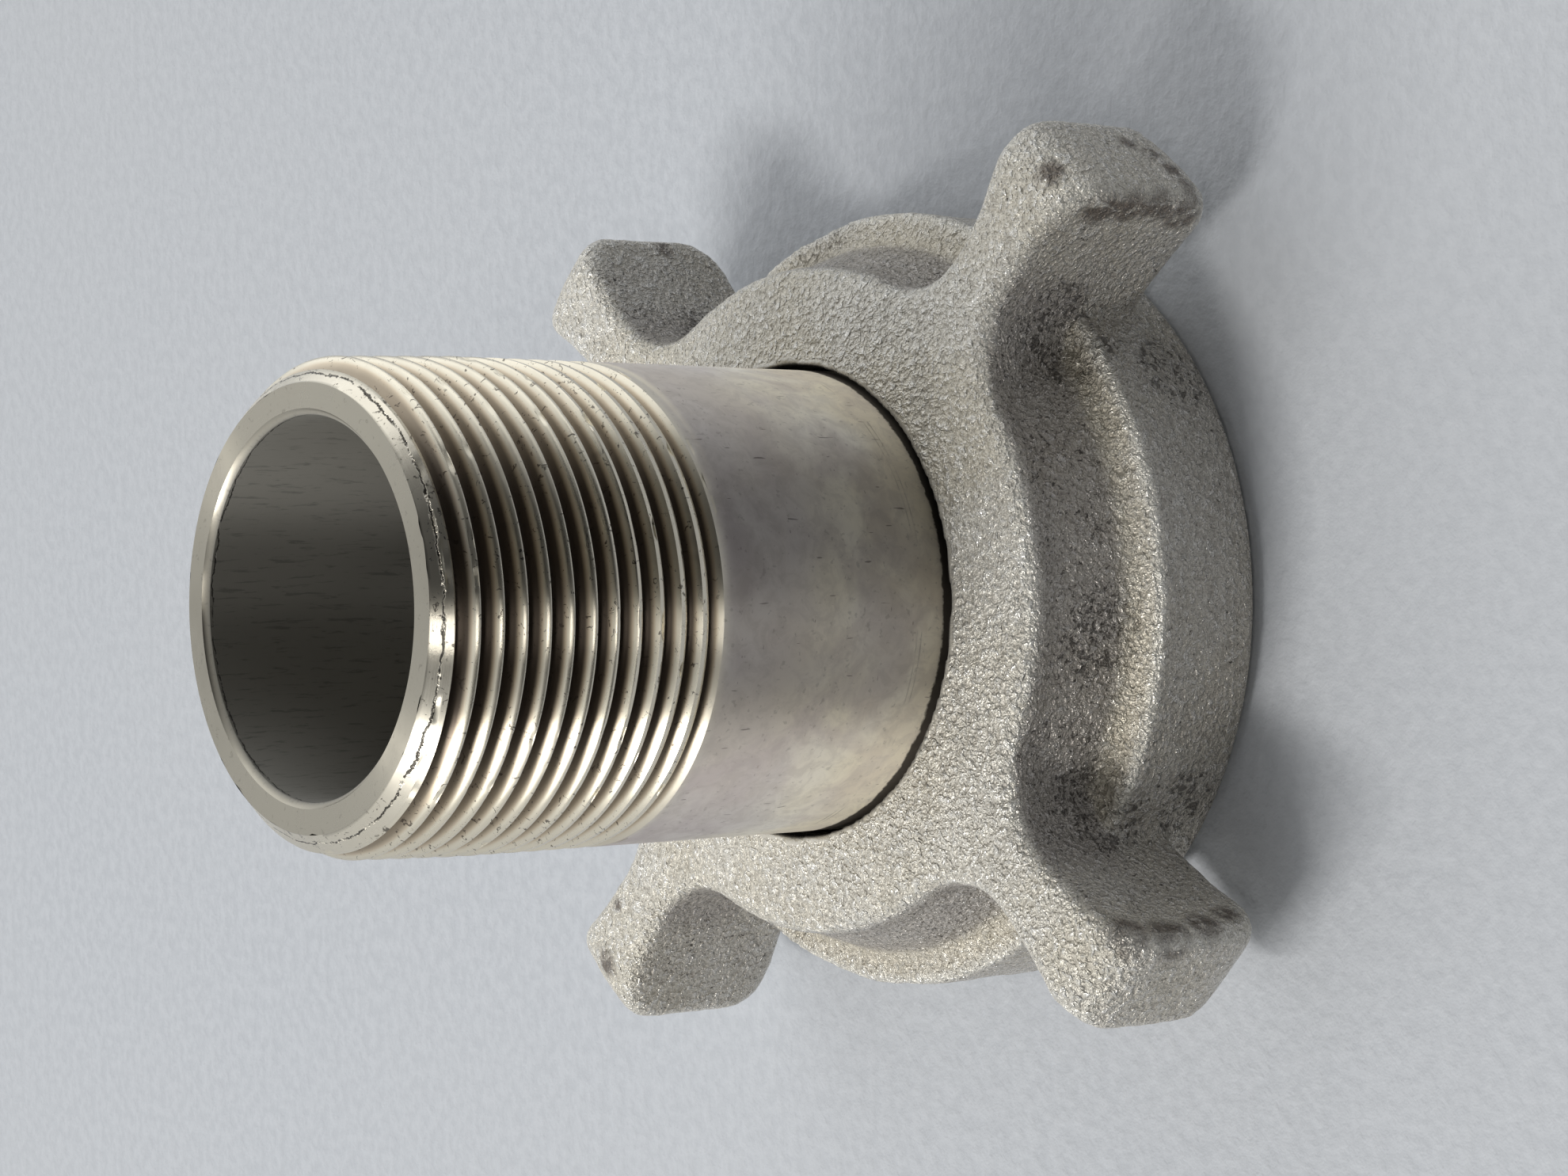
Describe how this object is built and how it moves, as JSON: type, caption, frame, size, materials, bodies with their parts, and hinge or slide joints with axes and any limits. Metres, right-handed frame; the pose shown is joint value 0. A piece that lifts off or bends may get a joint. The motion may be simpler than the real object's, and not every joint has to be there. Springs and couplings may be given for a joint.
{
  "type": "acme thread coupling",
  "caption": "Acme swivel coupling: a steel stem with a male taper pipe thread, held by a cast lugged nut with a female acme thread and sealed by a rubber ring.",
  "frame": {"origin": "centre of the nut's mouth, on the plane the coupling stands on", "axes": "+Z along the stem and the nut, from the acme mouth to the pipe thread; -Y is the side the picture was taken from"},
  "size_m": [0.0824, 0.0824, 0.076],
  "materials": {
    "cast_nut": "as-cast and shot-blasted, light warm grey, fine grained with dark pits",
    "turned_stem": "turned and satin, with bright thread crests",
    "seal": "matt black rubber"
  },
  "bodies": {
    "stem": {"stem": "turned_stem"},
    "gasket": {"gasket": "seal"},
    "nut": {"nut": "cast_nut"}
  },
  "joints": [
    {"name": "nut_turn", "type": "hinge", "parent": "stem", "child": "gasket", "pos_m": [0, 0, 0], "axis": [0, 0, 1], "continuous": true},
    {"name": "nut_slide", "type": "slide", "parent": "gasket", "child": "nut", "axis": [0, 0, 1], "range_m": [-0.0096, 0.082]}
  ]
}
